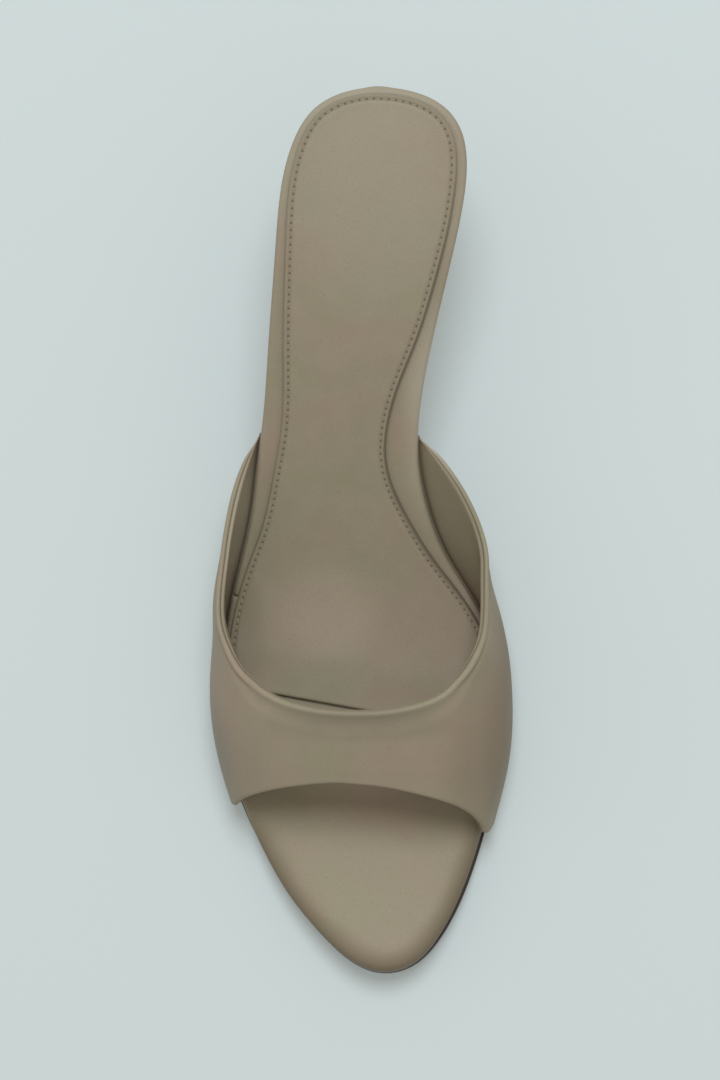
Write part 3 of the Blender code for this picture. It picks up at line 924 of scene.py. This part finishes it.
def makeSock():
    ringAt, ring, spine = sockPlan()
    frontStart, frontEnd = sock["ribs"], sock["ribs"] + sock["across"]

    def rim(extra):
        return lambda along, side: extra + (shoe["ballWidth"] * rims[side](along) if side else 0.0)

    # how much of the stitching's pull each corner of the ring feels: none along the front edge
    def pulled(k):
        if frontStart <= k <= frontEnd:
            return 0.0
        corner = ring[frontStart] if k < frontStart else ring[frontEnd]
        away = abs(corner[1] - ring[k][1]) * shoe["length"]
        return easeInOut((away - sock["pullStart"]) / sock["pullGrowth"])

    pulls = [pulled(k) for k in range(len(ring))]
    edge = KDTree(len(ring))
    for k, (x, along) in enumerate(ring):
        edge.insert((x, along * shoe["length"], 0.0), k)
    edge.balance()

    def surface(inset, share):
        def where(x, along, k):
            away = edge.find((x, along * shoe["length"], 0.0))[2]
            swell = sock["crown"] * easeInOut((away - stitching["inset"]) / sock["crownReach"])
            dip = sock["troughDepth"] * pulls[k] * bump(away, stitching["inset"], sock["troughReach"])
            return placeAt(x, along, sockTop + swell - dip)
        return (rim(inset), share, where)

    shares = (1.0, 0.85, 0.70, 0.56, 0.43, 0.31, 0.20, 0.10)
    steps = (0.0036, 0.0026, 0.0018, 0.0013, 0.0009, 0.0006, 0.0004, 0.0002, 0.0, -0.0002, -0.0004, -0.0006)
    insets = [stitching["inset"] + step for step in steps]
    levels = [surface(insets[0], share) for share in shares]
    levels += [surface(inset, 0.0) for inset in insets]
    inwards = [insets[0]] * len(shares) + insets
    levels += roundOver(sock["edgeRound"], sockTop, 5, rim)[1:]
    levels.append((rim(0.0), 0.0, level(sockBottom)))
    levels += [(rim(0.0), share, level(sockBottom)) for share in (0.3, 0.65, 1.0)]
    rows = ringRows(ringAt, spine, levels)

    # the line of the stitching, measured from the back of the heel both ways
    line = rows[len(shares) + insets.index(stitching["inset"])]
    runs = [0.0] * len(line)
    for k in range(1, frontStart + 1):
        runs[k] = runs[k - 1] - (line[k] - line[k - 1]).length
    runs.append(0.0)
    for k in range(len(line) - 1, frontEnd - 1, -1):
        runs[k] = runs[k + 1] + (line[k] - line[(k + 1) % len(line)]).length

    def runAt(column, point, search=6):
        # how far along the stitching the nearest place to this point lies
        near = []
        for k in range(max(column - search, 0), min(column + search, len(line))):
            start, end = line[k], line[(k + 1) % len(line)]
            share = min(max((point - start).dot(end - start) / (end - start).length_squared, 0.0), 1.0)
            away = (point - start.lerp(end, share)).length
            near.append((away, runs[k] + (runs[k + 1] - runs[k]) * share))
        return min(near)[1]

    farIn, besideStitches = 0.05, 0.001

    def seamMap(column, row):
        if frontStart < column < frontEnd:
            return (0.0, farIn)
        inwardsHere = inwards[row] if row < len(inwards) else 0.0
        if abs(inwardsHere - stitching["inset"]) > besideStitches:
            return (runs[column], inwardsHere)
        return (runAt(column, rows[row][column % len(line)]), inwardsHere)

    piece = addPiece("paddedSock", windRing(rows, seamMap), [sockFinish], "sock")
    ways = range(frontStart + 1), range(len(line), frontEnd - 1, -1)
    return [[(runs[k], line[k % len(line)], ring[k % len(line)][1]) for k in way] for way in ways]


def makeStitches(lines):
    # short stitches between the needle holes, sunk into the sock and dipping at both ends
    mesh = bmesh.new()
    made = 0
    size = Matrix.Diagonal((stitching["width"], stitching["height"], stitching["length"], 1.0))
    for line in lines:
        lengths = [abs(run) for run, point, along in line]
        k = 1
        middle = 0.0 if line is lines[0] else stitching["pitch"]
        while middle < lengths[-1] - stitching["stopShort"]:
            while lengths[k] < middle:
                k += 1
            share = (middle - lengths[k - 1]) / (lengths[k] - lengths[k - 1])
            at = line[k - 1][1].lerp(line[k][1], share)
            ahead = (line[k][1] - line[k - 1][1]).normalized()
            up = squareUp(line[k][2])
            side = up.cross(ahead).normalized()
            up = ahead.cross(side)
            turned = Matrix((side, up, ahead)).transposed().to_4x4()
            carried = Matrix.Translation(at + up * stitching["height"] * stitching["rise"]) @ turned @ size
            bmesh.ops.create_uvsphere(mesh, u_segments=8, v_segments=6, radius=0.5, matrix=carried)
            middle += stitching["pitch"]
            made += 1
    piece = addPiece("sockStitching", mesh, [threadFinish])
    print(made, "stitches")
    return piece


makeStitches(makeSock())

# Outsole

# Edge against the footbed's outline: share of the length, outer and inner step in shares of the
# step, thickness in shares of the outsole's
soleRows = (
    (0.19, -2.6, -2.6, 0.72),
    (0.30, -4.2, -4.4, 0.72),
    (0.40, -3.4, -4.0, 0.76),
    (0.50, -0.6, -1.4, 0.90),
    (0.58, 0.8, 0.7, 0.98),
    (0.64, 1.0, 1.0, 1.00),
    (0.71, 1.0, 1.0, 1.00),
    (0.78, 0.9, 1.0, 1.00),
    (0.86, 0.1, 0.8, 1.00),
    (0.95, 0.0, 0.6, 1.00),
    (1.00, 0.0, 0.0, 1.00),
)
outsole = {"step": 0.0010, "edgeRound": 0.0005, "ribs": 150}
soleSteps = {-1: tableCurve(soleRows, 1), 1: tableCurve(soleRows, 2)}
soleShare = tableCurve(soleRows, 3)


def makeOutsole():
    start = shoe["seatLength"] / shoe["length"]
    turns = [math.sin(math.pi / 2 * i / outsole["ribs"]) for i in range(outsole["ribs"] + 1)]
    alongs = [start + (1 - start) * turned for turned in turns]
    gap = shoe["seamGap"] / shoe["length"]
    sides = []
    for side in (-1, 1):
        points = [(edgeAt(along, side), along) for along in alongs]
        points[0] = (points[0][0], points[0][1] + gap)
        sides.append(points)
    hollow = -shoe["breastHollow"] / shoe["length"]
    plan = planRing(*sides, (3, sum(along > spineTo for along in alongs)), (hollow, 0.0))

    def step(extra):
        return lambda along, side: extra - outsole["step"] * soleSteps[side](along) if side else extra

    def under(lift):
        def where(x, along, k):
            return placeAt(x, along, lift - shoe["outsoleThickness"] * min(soleShare(along), 1.0))
        return where

    radius = outsole["edgeRound"]
    levels = [(step(radius), share, level(0.0)) for share in (1.0, 0.6, 0.25)]
    levels += roundOver(radius, 0.0, 3, step) + roundUnder(radius, step, under)
    levels += [(step(radius), share, under(0.0)) for share in (0.08, 0.2, 0.4, 0.6, 0.8, 1.0)]
    mesh = windRing(plannedRows(plan, levels))
    return addPiece("outsoleLeather", mesh, [soleFinish], "outsole")


makeOutsole()

# Heel and top lift

# Heel from seat to tip: share of its height, width in shares of the seat's, back and breast in
# shares of the seat's length from the back
heelRows = (
    (0.00, 1.000, 0.000, 1.000),
    (0.07, 0.975, 0.008, 0.975),
    (0.18, 0.880, 0.038, 0.900),
    (0.32, 0.720, 0.095, 0.790),
    (0.47, 0.560, 0.160, 0.690),
    (0.62, 0.420, 0.217, 0.605),
    (0.77, 0.325, 0.256, 0.548),
    (0.90, 0.288, 0.270, 0.525),
    (1.00, 0.282, 0.271, 0.522),
)
heel = {
    "inset": 0.0008,
    "liftHeight": 0.0055,
    "liftRound": 0.0004,
    "coverRound": 0.00035,
    "levels": 44,
    "ribs": 60,
}
heelWidth, heelBack, heelFront = (tableCurve(heelRows, index) for index in (1, 2, 3))


def heelPlan():
    front = shoe["seatLength"] / shoe["length"]
    alongs = [front * (1 - math.cos(math.pi / 2 * i / heel["ribs"])) for i in range(heel["ribs"] + 1)]
    sides = [[(edgeAt(along, side), along) for along in alongs] for side in (-1, 1)]
    return planRing(*sides, (heel["ribs"] // 3, 3), (0.0, -shoe["breastHollow"] / shoe["length"]))


def heelAt(down, zEnd):
    # where a plan point of the seat lies, a share of the way down the heel
    middle = sum(edgeAt(shoe["seatLength"] / 2 / shoe["length"], side) for side in (-1, 1)) / 2
    back, front = heelBack(down) * shoe["seatLength"], heelFront(down) * shoe["seatLength"]
    width = heelWidth(down)

    def where(x, along, k):
        seat = placeAt(x, along, 0.0)
        y = -(back + along * shoe["length"] / shoe["seatLength"] * (front - back))
        y += (seat.y - shoe["middle"][1] + along * shoe["length"]) * (1 - down)
        z = seat.z + (zEnd - seat.z) * down
        return Vector((middle + (x - middle) * width + shoe["middle"][0], y + shoe["middle"][1], z))

    return where


def heelInset(extra):
    return lambda along, side: extra + heel["inset"] * abs(side)


def makeHeel():
    tip = heel["liftHeight"] + shoe["seamGap"]
    levels = [(heelInset(0.0), share, heelAt(0.0, tip)) for share in (1.0, 0.6, 0.25)]
    levels += [(heelInset(0.0), 0.0, heelAt(k / heel["levels"], tip)) for k in range(heel["levels"] + 1)]
    levels += [(heelInset(0.0), share, heelAt(1.0, tip)) for share in (0.4, 1.0)]
    mesh = windRing(plannedRows(heelPlan(), levels))
    softenEdges(addPiece("heelCover", mesh, [calfFinish], "heel"), heel["coverRound"])


def softenEdges(piece, width):
    edges = piece.modifiers.new("softEdges", "BEVEL")
    edges.width = width
    edges.segments = 3
    edges.limit_method = "ANGLE"
    edges.angle_limit = math.radians(50)


def makeTopLift():
    tip = heelAt(1.0, 0.0)

    def flat(z):
        return lambda x, along, k: Vector((*tip(x, along, k).xy, z))

    radius = heel["liftRound"]
    levels = [(heelInset(0.0), share, flat(heel["liftHeight"])) for share in (1.0, 0.5, 0.0)]
    levels += roundUnder(radius, heelInset, flat)
    levels += [(heelInset(radius), share, flat(0.0)) for share in (0.5, 1.0)]
    addPiece("topLiftTip", windRing(plannedRows(heelPlan(), levels)), [rubberFinish], "top_lift")


makeHeel()
makeTopLift()

# Upper

# Last above the footbed: share of the length, ridge height in shares of the instep's, swell of
# the inner and the outer wall beyond the feather edge in shares of the ball's width
lastRows = (
    (0.36, 1.80, 0.160, 0.068),
    (0.42, 1.72, 0.194, 0.063),
    (0.48, 1.58, 0.166, 0.056),
    (0.54, 1.42, 0.097, 0.042),
    (0.60, 1.24, 0.034, 0.012),
    (0.66, 1.07, 0.006, 0.010),
    (0.72, 0.91, 0.001, 0.011),
    (0.78, 0.75, -0.005, 0.005),
    (0.86, 0.58, -0.004, 0.005),
)
# The leather is skived towards the tips of the wings: share of the length past the tip, thickness
# in shares of the upper's on the outer and the inner wing
skiveRows = (
    (0.000, 0.05, 0.05),
    (0.004, 0.12, 0.26),
    (0.010, 0.36, 0.64),
    (0.016, 0.61, 0.87),
    (0.026, 0.82, 0.96),
    (0.038, 0.94, 1.00),
    (0.055, 1.00, 1.00),
)
upper = {
    "featherFillet": 0.00025,
    "swellShare": 0.26,
    "sectionPower": 2.4,
    "ridgeShift": 0.03,
    "crowding": 0.55,
    "columns": 210,
    "rows": 78,
    "foldRadius": 0.00066,     # the outer leather, turned over at the wings' topline
    "throatFoldRadius": 0.00104,  # at the throat
    "frontFoldRadius": 0.00105,  # and at the toe opening
    "throatFrom": 0.11,        # shares of the way over the foot between which the fold grows
    "throatTo": 0.27,
    "liningDrop": 0.00030,     # how far the lining stops short of the fold
    "grooveDrop": 0.00090,     # and the groove between them
    "rollHeight": 0.00022,     # the taped edge of the throat
    "rollReach": 0.0017,
    "rollGrowth": 1.6,         # how soon it grows from the feather edges
    "hollowDepth": 0.00048,    # and the hollow in front of it
    "hollowPlace": 0.0034,
    "hollowReach": 0.0036,
}
ridge = tableCurve(lastRows, 1)
swells = {1: tableCurve(lastRows, 2), -1: tableCurve(lastRows, 3)}
skives = {-1: tableCurve(skiveRows, 1), 1: tableCurve(skiveRows, 2)}


def lastAt(along, around):
    # a point of the last, a share of the way over it from the inner to the outer feather edge
    side = 1 if around < 0.5 else -1
    angle = math.pi * around
    waves = abs(math.cos(angle)), max(math.sin(angle), 0.0)
    out, up = (wave ** (2 / upper["sectionPower"]) for wave in waves)
    feather = {s: edgeAt(along, s) + s * shoe["seamGap"] for s in (-1, 1)}
    middle = (feather[-1] + feather[1]) / 2 + upper["ridgeShift"] * shoe["ballWidth"]
    swelling = math.sin(math.pi / 2 * min(up / upper["swellShare"], 1.0))
    swell = swells[side](along) * shoe["ballWidth"] * swelling
    low = marginTop + upper["featherFillet"]
    x = middle + (feather[side] - middle + side * swell) * out
    return placeAt(x, along, low + (ridge(along) * shoe["instepHeight"] - low) * up)


def marginAt(side, inset, height):
    return lambda along: placeAt(edgeAt(along, side) + side * (shoe["seamGap"] - inset), along, height)


def upperStops():
    # what the inner face passes on its way over the foot: share of the way over, where, and how
    # far the wall has turned up from the margin
    fillet = upper["featherFillet"]
    shares, turns = (1.0, 1.0, 0.75, 0.5, 0.25), 8
    low = [(fillet + shoe["lastingMargin"] * share, marginTop, 0.0) for share in shares]
    for k in range(turns):
        angle = math.pi / 2 * k / turns
        low.append((fillet * (1 - math.sin(angle)), marginTop + fillet * (1 - math.cos(angle)), k / turns))
    stops = [(0.0, marginAt(1, inset, height), turned) for inset, height, turned in low]
    for i in range(upper["columns"] + 1):
        share = i / upper["columns"]
        around = share - upper["crowding"] * math.sin(2 * math.pi * share) / (2 * math.pi)
        stops.append((around, lambda along, around=around: lastAt(along, around), 1.0))
    return stops + [(1.0, marginAt(-1, inset, height), turned) for inset, height, turned in reversed(low)]


def rimProfile(fold):
    # the edge of the wall, from its outer to its inner face: (past the edge, over the inner face)
    wall = shoe["upperThickness"]
    lining = (wall - 2 * fold) / 2
    profile = []
    for angle in range(90, -76, -15):
        turned = math.radians(angle)
        profile.append((fold * (math.cos(turned) - 1), wall - fold + fold * math.sin(turned)))
    profile.append((-upper["grooveDrop"], 2 * lining))
    for angle in range(75, -91, -15):
        turned = math.radians(angle)
        past = lining * (math.cos(turned) - 1) - upper["liningDrop"]
        profile.append((past, lining + lining * math.sin(turned)))
    return profile


def makeUpper():
    stops = upperStops()
    lastStop = len(stops) - 1
    wall, rows = shoe["upperThickness"], upper["rows"]
    grooveAt = 12  # place of the groove in the profile of the rim

    def point(k, along):
        return stops[min(max(k, 0), lastStop)][1](along)

    def neighbours(k):
        # the stops on both sides of this one that lie apart
        before, after = max(k - 1, 0), min(k + 1, lastStop)
        if k <= 1:
            before, after = 1, 2
        if k >= lastStop - 1:
            before, after = lastStop - 2, lastStop - 1
        return before, after

    def outwards(k, along):
        before, after = neighbours(k)
        across, step = point(after, along) - point(before, along), 0.0008
        forwards = point(k, along + step) - point(k, along - step)
        return across.cross(forwards).normalized()

    def skiveAt(k, along):
        # the side of the foot, and the share of its thickness that the skived leather keeps
        side, wingTip = (1, 0.0) if stops[k][0] < 0.5 else (-1, 1.0)
        return side, min(skives[side](along - topline(wingTip)), 1.0)

    def thin(k, along):
        # share of its thickness that the wall has here
        return 1 - easeInOut(stops[k][2]) * (1 - skiveAt(k, along)[1])

    def tucked(k, along, corner):
        # below the wall nothing stands out past the skived leather
        if stops[k][2] < 1:
            side, kept = skiveAt(k, along)
            out = side * (corner.x - shoe["middle"][0] - edgeAt(along, side))
            corner.x -= side * max(out - (shoe["seamGap"] + wall * kept), 0.0)
        return corner

    def backFold(k):
        # radius of the turned edge: the leather turns more softly over the throat
        around = min(stops[k][0], 1 - stops[k][0])
        grown = easeInOut((around - upper["throatFrom"]) / (upper["throatTo"] - upper["throatFrom"]))
        return upper["foldRadius"] + (upper["throatFoldRadius"] - upper["foldRadius"]) * grown

    fronts = [toeOpening(stop[0]) for stop in stops]
    backs = [topline(stop[0]) for stop in stops]
    frontEdge = [point(k, along) for k, along in enumerate(fronts)]
    backEdge = [point(k, along) for k, along in enumerate(backs)]

    def edgeFrame(line, k, sign, along):
        before, after = neighbours(k)
        tangent = (line[after] - line[before]).normalized()
        normal = outwards(k, along)
        return (tangent.cross(normal) * sign).normalized(), normal

    columns = []
    for k in range(lastStop + 1):
        closing = k in (0, lastStop)
        pastBack, normalBack = edgeFrame(backEdge, k, 1, backs[k])
        pastFront, normalFront = edgeFrame(frontEdge, k, -1, fronts[k])
        length = (frontEdge[k] - backEdge[k]).length
        way = (backEdge[k] - frontEdge[k]).normalized()

        def taken(radius, past):
            # share of the way between both edges that the turn of one takes up
            return 2 * radius / length / max(abs(way.dot(past)), 0.2)

        startShare = taken(upper["frontFoldRadius"], pastFront)
        endShare = 1 - taken(backFold(k) * thin(k, backs[k]), pastBack)
        outer, inner = [], []
        for i in range(rows + 1):
            share = startShare + (endShare - startShare) * i / rows
            along = fronts[k] + (backs[k] - fronts[k]) * share
            base, normal = point(k, along), outwards(k, along)
            lift, full = reliefAt(stops[k][0], along), wall * thin(k, along)
            outer.append(tucked(k, along, base + normal * (full / 2 if closing else full + lift)))
            inner.append(base + normal * (full / 2 if closing else lift))

        def rim(at, past, normal, along, profile):
            lift, full = reliefAt(stops[k][0], along), thin(k, along)
            made = []
            for beyond, over in profile:
                if closing:
                    beyond, over = profile[0][0], wall / 2
                raised = over * full + (0.0 if closing else lift)
                made.append(tucked(k, along, at + past * beyond * full + normal * raised))
            return made

        frontProfile = rimProfile(upper["frontFoldRadius"])
        backRim = rim(backEdge[k], pastBack, normalBack, backs[k], rimProfile(backFold(k)))
        frontRim = rim(frontEdge[k], pastFront, normalFront, fronts[k], frontProfile)
        columns.append(outer + backRim + inner[::-1] + frontRim[::-1])

    around = len(columns[0])
    liningStart = rows + 1 + grooveAt
    liningEnd = around - grooveAt - 1

    def finishOf(row):
        return 1 if liningStart <= row < liningEnd else 0

    mesh = windGrid(lastStop, around, lambda column, row: columns[column][row % around], finishOf=finishOf)
    return addPiece("upperBand", mesh, [calfFinish, shadedLiningFinish], "upper", sharpAngle=75)


def reliefAt(around, along):
    # the soft roll at the throat and the shallow hollow in front of it
    behind = (along - topline(around)) * shoe["length"]
    roll = upper["rollHeight"] * bump(behind, 0.0, upper["rollReach"])
    hollow = upper["hollowDepth"] * bump(behind, upper["hollowPlace"], upper["hollowReach"])
    high = math.sin(math.pi * min(max(around, 0.0), 1.0))
    return (roll - hollow) * easeInOut(high * upper["rollGrowth"])


makeUpper()

# Floor, light and camera
stage = {
    "floorSize": 6.0,
    "floorColour": (0.50, 0.565, 0.57),
    "floorGlow": (0.136, 0.148, 0.148),
    "cloudScale": 3.0,
    "cloudShade": 0.985,
}
lights = {
    "key": {"place": (0.12, 0.98, 2.22), "size": 1.05, "power": 32.0, "colour": (0.95, 1.0, 1.05)},
    "outerFill": {"place": (-1.7, 0.1, 0.75), "size": 1.2, "power": 1.2, "colour": (0.97, 0.99, 1.0)},
}
room = {"colour": (1.0, 0.955, 0.87), "strength": 0.48}
camera = {"place": (0.0482, 0.0038, 1.10), "at": (0.0, 0.0, 0.02), "lens": 131.0, "clip": (0.01, 20.0)}


def makeFloor():
    mesh = bmesh.new()
    bmesh.ops.create_grid(mesh, x_segments=1, y_segments=1, size=stage["floorSize"] / 2)
    finish, shader, begin, where = startFinish("paleFloor")
    cloud = noise(begin, where, stage["cloudScale"], 2.0)
    shade = tuple(part * stage["cloudShade"] for part in stage["floorColour"])
    feed(begin, shader, "Base Color", mixColours(begin, cloud, stage["floorColour"], shade))
    shader.inputs["Roughness"].default_value = 0.9
    shader.inputs["Specular IOR Level"].default_value = 0.1
    shader.inputs["Emission Color"].default_value = (*stage["floorGlow"], 1.0)
    shader.inputs["Emission Strength"].default_value = 1.0
    makeObject("floor", mesh, [finish])


def makeLights():
    for name, look in lights.items():
        data = bpy.data.lights.new(name, "AREA")
        data.shape = "DISK"
        data.size = look["size"]
        data.energy = look["power"]
        data.color = look["colour"]
        lamp = bpy.data.objects.new(name, data)
        lamp.location = look["place"]
        lamp.rotation_euler = (-Vector(look["place"])).to_track_quat("-Z", "Y").to_euler()
        scene.collection.objects.link(lamp)
    world = bpy.data.worlds.new("softRoom")
    world.use_nodes = True
    background = world.node_tree.nodes["Background"]
    background.inputs["Color"].default_value = (*room["colour"], 1.0)
    background.inputs["Strength"].default_value = room["strength"]
    scene.world = world


def makeCamera():
    data = bpy.data.cameras.new("camera")
    data.lens = camera["lens"]
    data.clip_start, data.clip_end = camera["clip"]
    eye = bpy.data.objects.new("camera", data)
    back = (Vector(camera["place"]) - Vector(camera["at"])).normalized()
    right = Vector((0.0, 1.0, 0.0)).cross(back).normalized()
    turned = Matrix((right, back.cross(right), back)).transposed().to_4x4()
    eye.matrix_world = Matrix.Translation(camera["place"]) @ turned
    scene.collection.objects.link(eye)
    scene.camera = eye


makeFloor()
makeLights()
makeCamera()
scene.view_settings.view_transform = "Standard"
scene.view_settings.look = "None"
print("floor, light and camera set")
